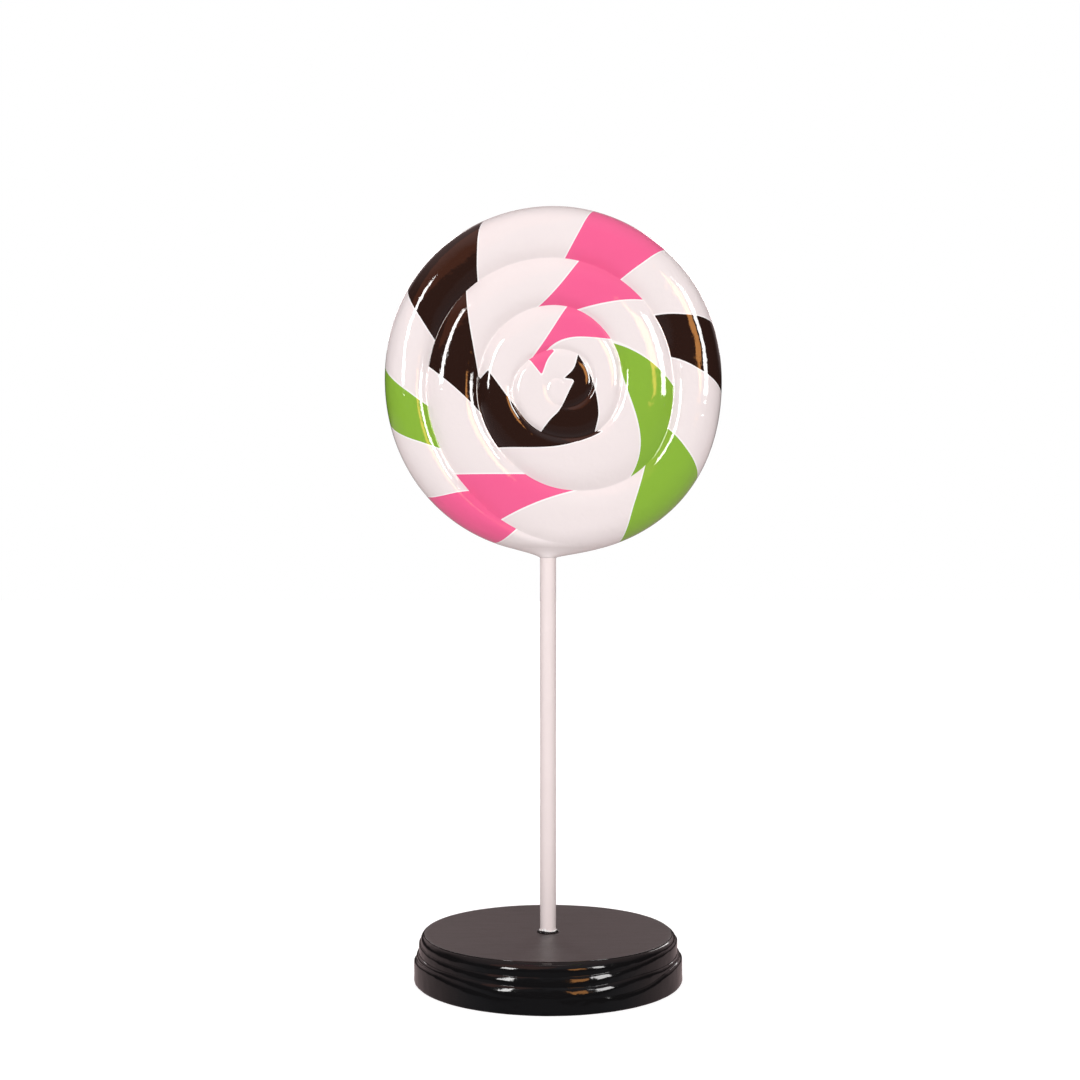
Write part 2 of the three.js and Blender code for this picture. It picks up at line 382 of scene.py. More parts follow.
def flank_cut(tree, distance, reach, depth, fillet, crowding):
    """How far one flank of the rope falls away towards the groove at its edge."""
    square = tree.math("ADD", tree.square(distance), tree.square(fillet))
    softened = tree.math("SUBTRACT", tree.math("SQRT", square), fillet)
    share = tree.math("SUBTRACT", 1.0, tree.math("DIVIDE", softened, reach))
    share = tree.math("POWER", tree.math("MAXIMUM", share, 0.0), crowding)
    return tree.math("MULTIPLY", share, depth)


def coiled_disc_tree():
    """Lays the rope's surface between each turn of its edge and the next, front and back."""
    group, tree, given, wanted = new_group(
        "Coiled rope disc",
        "GeometryNodeTree",
        [
            ("Edge Path", "Object"),
            ("Columns", "Int", 100),
            ("Columns Per Turn", "Int", 60),
            ("Rows", "Int", 12),
            ("Rim Half Thickness", "Float", 0.02),
            ("Rim Rounding", "Float", 0.03),
            ("Dome Rise", "Float", 0.01),
            ("Rope Crest", "Float", 0.5),
            ("Groove Fillet", "Float", 0.001),
            ("Rope End Radius", "Float", 0.001),
            ("Seam Margin", "Float", 0.0),
            ("Weld Distance", "Float", 0.00002),
            ("Hand Waviness", "Float", 0.0),
            ("Waves Per Metre", "Float", 20.0),
            ("Middle", "Vector"),
            ("Paint", "Material"),
        ],
        [("Disc", "Geometry")],
    )
    points_down = tree.math("ADD", given["Rows"], 1.0)
    grid = tree.add(
        "GeometryNodeMeshGrid",
        {"Vertices X": tree.math("ADD", given["Columns"], 1.0), "Vertices Y": points_down},
    )["Mesh"]
    index = tree.add("GeometryNodeInputIndex")[0]
    column = tree.math("FLOOR", tree.math("DIVIDE", tree.math("ADD", index, 0.5), points_down))
    row = tree.math("SUBTRACT", index, tree.math("MULTIPLY", column, points_down))
    next_coil = tree.math("ADD", column, given["Columns Per Turn"])

    path = tree.add("GeometryNodeObjectInfo", {"Object": given["Edge Path"]})["Geometry"]

    def along_path(name, at):
        value = tree.add("GeometryNodeInputNamedAttribute", {"Name": name}, data_type="FLOAT")
        return tree.add("GeometryNodeSampleIndex", (path, value[0], at), data_type="FLOAT")[0]

    def path_point(at):
        place = tree.add("GeometryNodeInputPosition")[0]
        sampled = tree.add("GeometryNodeSampleIndex", (path, place, at), data_type="FLOAT_VECTOR")
        return sampled[0]

    outer, inner = path_point(column), path_point(next_coil)
    turn = along_path("turn", column)
    outline = along_path("outline", column)

    # Rows crowd towards both edges of the rope, where the rim and the grooves turn steeply
    down = tree.math("DIVIDE", row, given["Rows"])
    cosine = tree.math("COSINE", tree.math("MULTIPLY", down, math.pi))
    across = tree.math("MULTIPLY_ADD", cosine, -0.5, 0.5)
    flat_place = tree.add(
        "ShaderNodeMix", (across, None, None, None, outer, inner), data_type="VECTOR"
    )[1]
    radius = tree.measure("LENGTH", flat_place)
    off_middle = tree.math("GREATER_THAN", radius, given["Rope End Radius"])
    flat_place = tree.scale(flat_place, off_middle)
    radius = tree.math("MULTIPLY", radius, off_middle)

    # The plain form: a rounded rim and a low dome
    within = tree.math("SUBTRACT", tree.math("SUBTRACT", outline, radius), given["Seam Margin"])
    from_outline = tree.math("MAXIMUM", within, 0.0)
    rim_share = tree.math("DIVIDE", from_outline, given["Rim Rounding"])
    rim_left = tree.math("SUBTRACT", 1.0, tree.math("MINIMUM", rim_share, 1.0))
    rim_arc = tree.math("SQRT", tree.math("SUBTRACT", 1.0, tree.square(rim_left)))
    dome_share = tree.math("SUBTRACT", 1.0, tree.square(tree.math("DIVIDE", radius, outline)))
    dome_share = tree.math("MULTIPLY", dome_share, tree.math("GREATER_THAN", from_outline, 0.0))
    dome_share = tree.math("MAXIMUM", dome_share, 0.0)
    rim_height = tree.math("MULTIPLY", rim_arc, given["Rim Half Thickness"])
    plain = tree.math("MULTIPLY_ADD", dome_share, given["Dome Rise"], rim_height)

    # The rope's two flanks fall away to the grooves
    width = tree.math("MAXIMUM", tree.measure("DISTANCE", outer, inner), 1e-5)
    crest = given["Rope Crest"]
    outer_distance = tree.math("MULTIPLY", across, width)
    inner_distance = tree.math("SUBTRACT", width, outer_distance)
    outer_reach = tree.math("MULTIPLY", width, crest)
    inner_reach = tree.math("SUBTRACT", width, outer_reach)
    fillet = given["Groove Fillet"]
    cut = 0.0
    for edge, distance, reach in (
        (column, outer_distance, outer_reach),
        (next_coil, inner_distance, inner_reach),
    ):
        depth, crowding = along_path("depth", edge), along_path("crowding", edge)
        cut = tree.math("ADD", cut, flank_cut(tree, distance, reach, depth, fillet, crowding))
    # Grooves and waves die out at the rim, where the front and the back meet
    rim_thinning = tree.math("DIVIDE", plain, given["Rim Half Thickness"])
    rim_thinning = tree.math("MINIMUM", rim_thinning, 1.0)
    cut = tree.math("MULTIPLY", tree.math("MULTIPLY", cut, rim_thinning), off_middle)
    waves = tree.add(
        "ShaderNodeTexNoise",
        {"Vector": flat_place, "Scale": given["Waves Per Metre"], "Detail": 1.5},
    )["Fac"]
    waviness = tree.math("MULTIPLY", tree.math("SUBTRACT", waves, 0.5), given["Hand Waviness"])
    waviness = tree.math("MULTIPLY", waviness, rim_thinning)
    height = tree.math("ADD", tree.math("SUBTRACT", plain, cut), waviness)

    out_of_face = tree.add("ShaderNodeCombineXYZ", {"Y": tree.math("MULTIPLY", height, -1.0)})[0]
    place = tree.vector("ADD", flat_place, out_of_face)
    front = tree.add("GeometryNodeSetPosition", {"Geometry": grid, "Position": place})[0]
    turn_of_point = tree.add("GeometryNodeFieldOnDomain", (turn,), domain="POINT")[0]
    front = tree.add(
        "GeometryNodeStoreNamedAttribute",
        {"Geometry": front, "Name": "turn", "Value": turn_of_point},
        data_type="FLOAT",
        domain="CORNER",
    )[0]
    front = tree.add("GeometryNodeFlipFaces", (front,))[0]
    back = tree.add("GeometryNodeTransform", {"Geometry": front, "Scale": (1, -1, 1)})[0]
    back = tree.add("GeometryNodeFlipFaces", (back,))[0]
    both = tree.add("GeometryNodeJoinGeometry", (front,))
    tree.links.new(back, both[0].node.inputs[0])
    closed = tree.add(
        "GeometryNodeMergeByDistance", {"Geometry": both[0], "Distance": given["Weld Distance"]}
    )[0]
    placed = tree.add(
        "GeometryNodeTransform", {"Geometry": closed, "Translation": given["Middle"]}
    )[0]
    smooth = tree.add("GeometryNodeSetShadeSmooth", {"Geometry": placed, "Shade Smooth": True})[0]
    real = tree.add("GeometryNodeRealizeInstances", (smooth,))[0]
    painted = tree.add(
        "GeometryNodeSetMaterial", {"Geometry": real, "Material": given["Paint"]}
    )[0]
    tree.links.new(painted, wanted["Disc"])
    return group


def run_geometry_nodes(name, group, values):
    """Runs a geometry tree with named input values and returns its result as a plain piece."""
    holder = new_object(name + "_tree", bpy.data.meshes.new(name + "_tree"))
    modifier = holder.modifiers.new("tree", "NODES")
    modifier.node_group = group
    for item in group.interface.items_tree:
        if item.item_type == "SOCKET" and item.in_out == "INPUT":
            modifier[item.identifier] = values[item.name]
    graph = bpy.context.evaluated_depsgraph_get()
    mesh = bpy.data.meshes.new_from_object(
        holder.evaluated_get(graph), preserve_all_data_layers=True, depsgraph=graph
    )
    holder.modifiers.remove(modifier)
    bpy.data.objects.remove(holder)
    mesh.name = name
    return new_object(name, mesh)


def corner_values(mesh, name):
    values = np.zeros(len(mesh.loops), np.float32)
    mesh.attributes[name].data.foreach_get("value", values)
    return values.astype(float)


def corner_points(mesh):
    points = np.zeros(len(mesh.vertices) * 3, np.float32)
    mesh.vertices.foreach_get("co", points)
    corners = np.zeros(len(mesh.loops), np.int32)
    mesh.loops.foreach_get("vertex_index", corners)
    return points.reshape(-1, 3)[corners].astype(float)


def flat_radius(radius, turns):
    """A radius on the disc's face, with the rounded rim rolled out flat outside the outline."""
    outline = outline_radius(turns)
    quarter = (RIM_HALF_THICKNESS + RIM_ROUNDING) * math.pi / 4
    share = np.clip((outline - radius) / RIM_ROUNDING, 0, 1)
    along_rim = quarter * np.arccos(1 - share) / (math.pi / 2)
    return np.where(share < 1, outline + quarter - RIM_ROUNDING - along_rim, radius)


def share_over_rope(radius, turns):
    """How far a point at a flat radius lies from the rope's outer edge to its inner one."""
    outer = flat_radius(edge_radius(turns), turns)
    inner = flat_radius(edge_radius(turns + 1), turns)
    return (outer - radius) / np.maximum(outer - inner, 1e-6)


def direction(turns):
    """Where a turn points from the swirl's middle, as (x, z)."""
    return -np.stack([np.sin(turns * FULL_TURN), np.cos(turns * FULL_TURN)], axis=-1)


def past_line(turns, radius, line):
    """How far points at a turn and a flat radius lie past a masked line, towards later turns."""
    outer_turn, inner_turn, early_hump, late_hump = line
    ends = np.array([outer_turn, inner_turn])
    end_radius = edge_radius(ends + np.array([0, 1]))
    start, end = direction(ends) * flat_radius(end_radius, ends)[:, None]
    along = (end - start) / np.linalg.norm(end - start)
    sideways = np.array([-along[1], along[0]])
    onward = direction(np.mean(ends) + 0.25)
    sideways *= math.copysign(1, sideways @ onward)
    x = np.linspace(0, 1, LINE_STEPS)[:, None]
    bow = HUMP_SCALE * x * (1 - x) * (early_hump * (1 - x) + late_hump * x) * MM
    path = start + (end - start) * x + sideways * bow
    path_turn = np.arctan2(-path[:, 0], -path[:, 1]) / FULL_TURN
    path_turn += np.round(ends[0] + (ends[1] - ends[0]) * x[:, 0] - path_turn)
    path_share = share_over_rope(np.linalg.norm(path, axis=1), path_turn)
    path_share = np.maximum.accumulate(path_share)
    line_turn = np.interp(share_over_rope(radius, turns), path_share, path_turn)
    squareness = np.abs(direction(turns + 0.25) @ sideways)
    return (turns - line_turn) * FULL_TURN * radius * np.maximum(squareness, LEAST_SQUARENESS)


def curve_through(points, steps=24):
    """A smooth open curve through a few points."""
    points = np.array(points, float)
    padded = np.concatenate([[2 * points[0] - points[1]], points, [2 * points[-1] - points[-2]]])
    at = np.linspace(0, len(points) - 1, steps * (len(points) - 1) + 1)[:, None]
    at = np.minimum(at, len(points) - 1 - 1e-9)
    return smooth_through(lambda i: padded[i[:, 0] + 1], at)


def depth_inside(points, outline):
    """How far inside a closed outline each point lies. Outside it, the distance is negative."""
    ends = np.roll(outline, -1, axis=0)
    nearest = np.full(len(points), np.inf)
    inside = np.zeros(len(points), bool)
    for (x0, z0), (x1, z1) in zip(outline, ends):
        side = np.array([x1 - x0, z1 - z0])
        length = side @ side
        if length == 0:
            continue
        offset = points - (x0, z0)
        share = np.clip(offset @ side / length, 0, 1)
        nearest = np.minimum(nearest, np.linalg.norm(offset - share[:, None] * side, axis=1))
        spans = (z0 > points[:, 1]) != (z1 > points[:, 1])
        if z1 != z0:
            crossing = x0 + (points[:, 1] - z0) * (x1 - x0) / (z1 - z0)
            inside ^= spans & (points[:, 0] < crossing)
    return np.where(inside, nearest, -nearest)


def mask_out_paints(mesh):
    """Stores, for each paint, how many mm inside its masked edge every corner lies."""
    turns = corner_values(mesh, "turn")
    place = corner_points(mesh)[:, [0, 2]] - np.array([DISC_CENTRE.x, DISC_CENTRE.z])
    radius = flat_radius(np.linalg.norm(place, axis=1), turns)
    far_outside = -1.0
    reach = {paint: np.full(len(turns), far_outside) for paint in ("pink", "green", "brown")}
    for paint, first_line, last_line in STRIPES:
        crossings = first_line[:2] + last_line[:2]
        first, last = min(crossings) - STRIPE_MARGIN, max(crossings) + STRIPE_MARGIN
        near = np.flatnonzero((turns > first) & (turns < last))
        past_first = past_line(turns[near], radius[near], first_line)
        past_last = past_line(turns[near], radius[near], last_line)
        inside = np.minimum(past_first, -past_last)
        reach[paint][near] = np.maximum(reach[paint][near], inside)
    for paint, first_turn, sides in PATCHES:
        outline = np.concatenate([curve_through(side)[:-1] for side in sides]) * MM
        inner_coils = np.flatnonzero(turns > first_turn)
        inside = depth_inside(place[inner_coils], outline)
        if paint == "white":
            for depth in reach.values():
                depth[inner_coils] = np.minimum(depth[inner_coils], -inside)
        else:
            reach[paint][inner_coils] = np.maximum(reach[paint][inner_coils], inside)
    for paint, inside in reach.items():
        attribute = mesh.attributes.new("inside_" + paint, "FLOAT", "CORNER")
        attribute.data.foreach_set("value", (inside / MM).astype(np.float32))


# ---------------------------------------------------------------- finishes
def srgb(red, green, blue):
    """A colour on the 0 to 255 scale as linear light."""
    linear = [
        c / 12.92 if c <= 0.04045 else ((c + 0.055) / 1.055) ** 2.4
        for c in (red / 255, green / 255, blue / 255)
    ]
    return (*linear, 1.0)


SUGAR_WHITE = srgb(244, 233, 233)
# The white of the brighter line set into the colour beside each painted edge
BRIGHT_EDGE_WHITE = srgb(255, 250, 250)
CANDY_PINK = srgb(249, 101, 152)
LEAF_GREEN = srgb(141, 184, 62)
CHOCOLATE = srgb(44, 25, 19)
POLE_WHITE = srgb(243, 229, 228)
FOOT_BLACK = srgb(17, 16, 17)
FLAT_BLACK = srgb(42, 34, 34)
BEAD_WHITE = srgb(255, 253, 252)
LACQUER_ROUGHNESS = 0.03
# Beside a masked edge, in mm from it: where the brighter white line starts to fade and where it
# is gone, how wide the paint's ridge is, and from where on nothing changes any more
BRIGHT_EDGE_FADE = (1.1, 1.7)
RIDGE_WIDTH = 0.9
PLAIN_FROM = 2.5
RIDGE_HEIGHT = 0.02 * MM
BRUSH_STROKE = (14, 70, 14)  # how many brush strokes to the metre, along and across them
STROKE_HEIGHT = 0.4 * MM
# How each sprayed film lies: its tone change, wave and peel size, wave and peel height, roughness
# and dust. Sizes and heights are in metres.
STRIPES_FILM = (0.015, 0.011, 0.0035, 0.00042, 0.0001, 0.045, 0.03)
COLLAR_FILM = (0.02, 0.012, 0.0028, 0.00008, 0.000003, 0.06, 0.05)
POLE_FILM = (0.03, 0.02, 0.0018, 0.00003, 0.000006, 0.22, 0.1)
BEAD_FILM = (0.02, 0.004, 0.0012, 0.0001, 0.00002, 0.2, 0.05)
WALL_FILM = (0.1, 0.012, 0.0035, 0.00018, 0.00005, 0.07, 0.06)
FLAT_FILM = (0.3, 0.03, 0.0012, 0.0002, 0.00002, 0.34, 0.2)
CLOUD_SIZE = 0.07
SPECK_SIZE = 0.0012
SPECK_LEVELS = (0.66, 0.74)  # the levels of the fine noise between which a speck of dust appears


def sprayed_film_group():
    """The lie of a sprayed coat: long waves, fine orange peel and a breath of uneven tone."""
    group, tree, given, wanted = new_group(
        "Sprayed film",
        "ShaderNodeTree",
        [
            ("Color", "Color", (0.8, 0.8, 0.8, 1)),
            ("Tone Change", "Float", 0.02),
            ("Wave Size", "Float", 0.02),
            ("Peel Size", "Float", 0.002),
            ("Wave Height", "Float", 0.00005),
            ("Peel Height", "Float", 0.000004),
            ("Roughness", "Float", 0.06),
            ("Dust", "Float", 0.03),
        ],
        [("Color", "Color"), ("Roughness", "Float"), ("Height", "Float")],
    )
    place = tree.add("ShaderNodeTexCoord")["Object"]

    def grain(size, detail):
        scale = tree.math("DIVIDE", 1.0, size)
        inputs = {"Vector": place, "Scale": scale, "Detail": detail}
        return tree.add("ShaderNodeTexNoise", inputs)["Fac"]

    waves = grain(given["Wave Size"], 1.0)
    peel = grain(given["Peel Size"], 1.0)
    cloud = grain(CLOUD_SIZE, 3.0)
    tone = tree.math("MULTIPLY", tree.math("SUBTRACT", cloud, 0.5), given["Tone Change"])
    light = tree.math("ADD", 1.0, tree.math("MULTIPLY", tone, 2.0))
    tree.links.new(tree.scale(given["Color"], light), wanted["Color"])
    specks = tree.ease(grain(SPECK_SIZE, 2.0), *SPECK_LEVELS)
    dusty = tree.math("MULTIPLY", specks, given["Dust"])
    hazy = tree.math("MULTIPLY", tree.square(cloud), given["Dust"])
    rough = tree.math("ADD", given["Roughness"], tree.math("ADD", dusty, hazy))
    tree.links.new(rough, wanted["Roughness"])
    height = tree.math(
        "ADD",
        tree.math("MULTIPLY", waves, given["Wave Height"]),
        tree.math("MULTIPLY", peel, given["Peel Height"]),
    )
    tree.links.new(height, wanted["Height"])
    return group


SPRAYED_FILM = sprayed_film_group()


def new_material(name):
    """An empty material with its tree and its Principled BSDF."""
    material = bpy.data.materials.new(name)
    material.use_nodes = True
    tree = Tree(material.node_tree)
    shader = next(n for n in tree.nodes if n.type == "BSDF_PRINCIPLED")
    return material, tree, shader


def film(tree, color, lie):
    """A sprayed film over a colour, which lies as one row of values says."""
    return tree.add("ShaderNodeGroup", (color, *lie), node_tree=SPRAYED_FILM)


def finish_shader(tree, shader, coat, height=None, lacquered=False):
    """Joins a film to the shader, with its own height if no other is given."""
    height = coat["Height"] if height is None else height
    bump = tree.add("ShaderNodeBump", {"Height": height, "Distance": 1.0})[0]
    tree.links.new(coat["Color"], shader.inputs["Base Color"])
    tree.links.new(coat["Roughness"], shader.inputs["Roughness"])
    tree.links.new(bump, shader.inputs["Normal"])
    if lacquered:
        shader.inputs["Coat Weight"].default_value = 1.0
        shader.inputs["Coat Roughness"].default_value = LACQUER_ROUGHNESS


def film_finish(name, color, lie, lacquered=False):
    """A finish that is one sprayed film of one colour."""
    material, tree, shader = new_material(name)
    finish_shader(tree, shader, film(tree, color, lie), lacquered=lacquered)
    return material


def lacquered_stripes():
    """White gloss with masked pink, green and brown paint under one clear lacquer."""
    material, tree, shader = new_material("lacquered_stripes")
    paints = (("pink", CANDY_PINK), ("green", LEAF_GREEN), ("brown", CHOCOLATE))
    depths = [
        tree.add("ShaderNodeAttribute", attribute_name="inside_" + paint)["Fac"]
        for paint, _ in paints
    ]
    edge_gap = PLAIN_FROM
    for depth in depths:
        edge_gap = tree.math("MINIMUM", edge_gap, tree.math("ABSOLUTE", depth))
    # A hair-wide line of brighter white is set into the colour beside each painted edge
    beside_edge = tree.ease(edge_gap, *BRIGHT_EDGE_FADE, 1.0, 0.0)
    color = tree.mix_colors(beside_edge, SUGAR_WHITE, BRIGHT_EDGE_WHITE)
    for depth, (_, tint) in zip(depths, paints):
        color = tree.mix_colors(tree.math("GREATER_THAN", depth, 0.0), color, tint)
    coat = film(tree, color, STRIPES_FILM)
    # The paint stands up a hair's breadth along each masked edge
    ridge = tree.ease(edge_gap, 0.0, RIDGE_WIDTH, RIDGE_HEIGHT, 0.0)
    height = tree.math("ADD", coat["Height"], ridge)
    finish_shader(tree, shader, coat, height, lacquered=True)
    return material


def foot_gloss():
    return film_finish("foot_gloss_black", FOOT_BLACK, WALL_FILM)


def foot_satin():
    """Satin black, brushed on, with faint streaks that run from side to side."""
    material, tree, shader = new_material("foot_satin_top")
    coat = film(tree, FLAT_BLACK, FLAT_FILM)
    place = tree.add("ShaderNodeTexCoord")["Object"]
    along_strokes = tree.vector("MULTIPLY", place, BRUSH_STROKE)
    strokes = tree.add(
        "ShaderNodeTexNoise", {"Vector": along_strokes, "Scale": 1.0, "Detail": 3.0}
    )["Fac"]
    relief = tree.math("MULTIPLY", strokes, STROKE_HEIGHT)
    finish_shader(tree, shader, coat, tree.math("ADD", coat["Height"], relief))
    return material


# ---------------------------------------------------------------- pieces
def keep_piece(piece, slot, *nodes):
    """Hands a finished piece to the frame: it rides on the one body and stands for its nodes."""
    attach(piece, "root")
    if nodes:
        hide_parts(*nodes)


def make_swirl_disc():
    path = rope_edge_path()
    disc = run_geometry_nodes(
        "coiled_disc",
        coiled_disc_tree(),
        {
            "Edge Path": path,
            "Columns": ROPE_COLUMNS,
            "Columns Per Turn": COLUMNS_PER_TURN,
            "Rows": ROWS_ACROSS_ROPE,
            "Rim Half Thickness": RIM_HALF_THICKNESS,
            "Rim Rounding": RIM_ROUNDING,
            "Dome Rise": DOME_RISE,
            "Rope Crest": ROPE_CREST,
            "Groove Fillet": GROOVE_FILLET,
            "Rope End Radius": ROPE_END_RADIUS,
            "Seam Margin": SEAM_MARGIN,
            "Weld Distance": WELD_DISTANCE,
            "Hand Waviness": HAND_WAVINESS,
            "Waves Per Metre": HAND_WAVES_PER_METRE,
            "Middle": DISC_CENTRE,
            "Paint": lacquered_stripes(),
        },
    )
    bpy.data.objects.remove(path)
    mask_out_paints(disc.data)
    keep_piece(disc, "swirl_paint", "swirl_disc")
    return disc


def waver(points, size, seed):
    """Smooth unevenness between -1 and 1 at each point, with waves of about one size."""
    offset = Vector((seed * 17.3, seed * 5.1, seed * 9.7))
    return np.array([noise.noise(Vector(point) / size + offset) for point in points])


def ringed_skin(name, rows, low_tip=None, high_tip=None, round_again=False):
    """A skin over level rows of points, each row a closed ring. Its ends are drawn to their tips,
    or its last row joins the first again."""
    count = len(rows[0])
    points = [tuple(point) for row in rows for point in row]
    faces = []
    for row in range(len(rows) if round_again else len(rows) - 1):
        for column in range(count):
            right = (column + 1) % count
            lower, upper = row * count, (row + 1) % len(rows) * count
            faces.append((lower + column, lower + right, upper + right, upper + column))
    for tip, start, turned in ((low_tip, 0, True), (high_tip, (len(rows) - 1) * count, False)):
        if tip is None:
            continue
        points.append(tuple(tip))
        for column in range(count):
            ends = (start + column, start + (column + 1) % count)
            faces.append((*(ends[::-1] if turned else ends), len(points) - 1))
    mesh = bpy.data.meshes.new(name)
    mesh.from_pydata(points, [], faces)
    mesh.shade_smooth()
    return new_object(name, mesh)


def ring_points(radius, height, shares):
    """Points round the vertical axis. Share 0 is the front and a quarter is the right."""
    angle = shares * FULL_TURN
    columns = (radius * np.sin(angle), -radius * np.cos(angle), height + 0 * angle)
    return np.stack(columns, axis=1)


def foot_outside(shares):
    """Radius and height of the foot's wall and lip, row by row from the floor up."""
    ledges = [round_trip(heights, shares) for heights in LEDGE_HEIGHTS]
    ledges.append(LIP_TOP + 0 * shares)
    walls = []
    # Each wall sways in and out a few times on its way round
    for layer, radii in enumerate(WALL_RADII):
        sway = np.sin(FULL_TURN * (2 + layer) * shares + layer) + np.sin(FULL_TURN * 5 * shares)
        walls.append(round_trip(radii, shares) + 0.5 * WALL_SWAY * sway)
    inner = round_trip(FLAT_RADII, shares) + WALL_SWAY * np.sin(FULL_TURN * 3 * shares)
    slant = round_trip(WALL_SLANTS, shares)
    shoulders = [round_trip(WALL_SHOULDERS, shares)] * 3 + [LIP_SHOULDER + 0 * shares]
    rounding = FOOT_BOTTOM_ROUNDING
    rows = [(walls[0] - rounding, 0 * shares)]
    rows += [
        (walls[0] - rounding * (1 - math.sin(t)), rounding * (1 - math.cos(t)) + 0 * shares)
        for t in np.linspace(0, math.pi / 2, 4)[1:]
    ]
    below = rows[-1][1]
    for wall, next_wall, ledge, shoulder in zip(walls, walls[1:] + [inner], ledges, shoulders):
        shoulder = np.minimum(shoulder, MOST_SHOULDER * (ledge - below))
        wall_top = ledge - shoulder
        rows += [(wall, below + up * (wall_top - below)) for up in WALL_ROWS_UP]
        is_lip = next_wall is inner
        for t in np.linspace(0, math.pi / 2, SHOULDER_ROWS):
            out = math.cos(t) if is_lip else 1 - math.sin(t) ** slant
            height = wall_top + shoulder * math.sin(t)
            if is_lip:
                height = height + LIP_END_SLOPE / 4 * (wall - next_wall) * (1 - out) ** 4
            rows.append((next_wall + (wall - next_wall) * out, height))
        below = rows[-1][1]
    rise = FOOT_HEIGHT - below
    rows += [(inner - inward * rise, below + up * rise) for inward, up in FLAT_EDGE]
    return rows


def make_foot():
    shares = np.arange(FOOT_COLUMNS) / FOOT_COLUMNS
    rows = []
    for radius, height in foot_outside(shares):
        points = ring_points(radius, height, shares)
        stretched = points * LUMP_STRETCH
        push = sum(high * waver(stretched, wide, seed) for high, wide, seed in WALL_LUMPS)
        rows.append(ring_points(radius + MM * push * (height > 0), height, shares))
    wall_rows = len(rows)
    flat_radii = np.linalg.norm(rows[-1][:, :2], axis=1) - FLAT_EDGE_WIDTH
    for share in np.linspace(0, 1, FLAT_ROWS + 1):
        radius = flat_radii * (1 - share) + SOCKET_RADIUS * share
        points = ring_points(radius, FOOT_HEIGHT, shares)
        sink = FLAT_DIP + FLAT_DIP * waver(points * FLAT_WAVE_STRETCH, FLAT_WAVE_SIZE, seed=3)
        sink *= smooth_step(0, FLAT_BORDER, share) * smooth_step(1, 1 - FLAT_BORDER, share)
        points[:, 2] -= MM * sink
        rows.append(points)
    socket_floor = pole_low.z - SOCKET_CLEARANCE
    rows.append(ring_points(SOCKET_RADIUS, socket_floor, shares))
    foot = ringed_skin("laid_up_foot", rows, (0, 0, 0), (0, 0, socket_floor))
    for finish in (foot_gloss(), foot_satin()):
        foot.data.materials.append(finish)
    flat_from = (wall_rows - 1) * FOOT_COLUMNS
    for face in foot.data.polygons:
        face.material_index = int(flat_from <= min(face.vertices) < len(rows) * FOOT_COLUMNS)
    keep_piece(foot, "foot_paint", "foot")


def make_pole():
    shares = np.arange(POLE_COLUMNS) / POLE_COLUMNS
    rows = []
    heights = [(pole_low.z, POLE_CHAMFER), (pole_low.z + POLE_CHAMFER, 0)]
    between = np.linspace(pole_low.z + POLE_END, pole_high.z - POLE_END, POLE_ROWS)
    heights += [(height, 0) for height in between]
    heights += [(pole_high.z - POLE_CHAMFER, 0), (pole_high.z, POLE_CHAMFER)]
    for height, smaller in heights:
        radius = POLE_RADIUS - smaller
        points = ring_points(radius - POLE_UNEVENNESS, height, shares)
        uneven = waver(points * POLE_WAVE_STRETCH, POLE_WAVE_SIZE, seed=4)
        rows.append(ring_points(radius - POLE_UNEVENNESS * (1 - uneven), height, shares))
    pole = ringed_skin("painted_pole", rows, (0, 0, pole_low.z), (0, 0, pole_high.z))
    pole.data.materials.append(film_finish("pole_enamel", POLE_WHITE, POLE_FILM))
    keep_piece(pole, "pole_paint", "pole")


def make_seal(name, slot, finish, profile, size, seed):
    """A ring laid by hand round the pole's foot, with waves of about one size."""
    shares = np.arange(POLE_COLUMNS) / POLE_COLUMNS
    rows = []
    for radius, height in profile:
        points = ring_points(radius * MM, FOOT_HEIGHT, shares)
        uneven = 1 + SEAL_UNEVENNESS * waver(points, size, seed)
        grown = POLE_RADIUS + (radius * MM - POLE_RADIUS) * uneven
        level = height * MM * (uneven if height > 0 else 1)
        rows.append(ring_points(grown, FOOT_HEIGHT + level, shares))
    seal = ringed_skin(name, rows, round_again=True)
    seal.data.materials.append(finish)
    keep_piece(seal, slot)


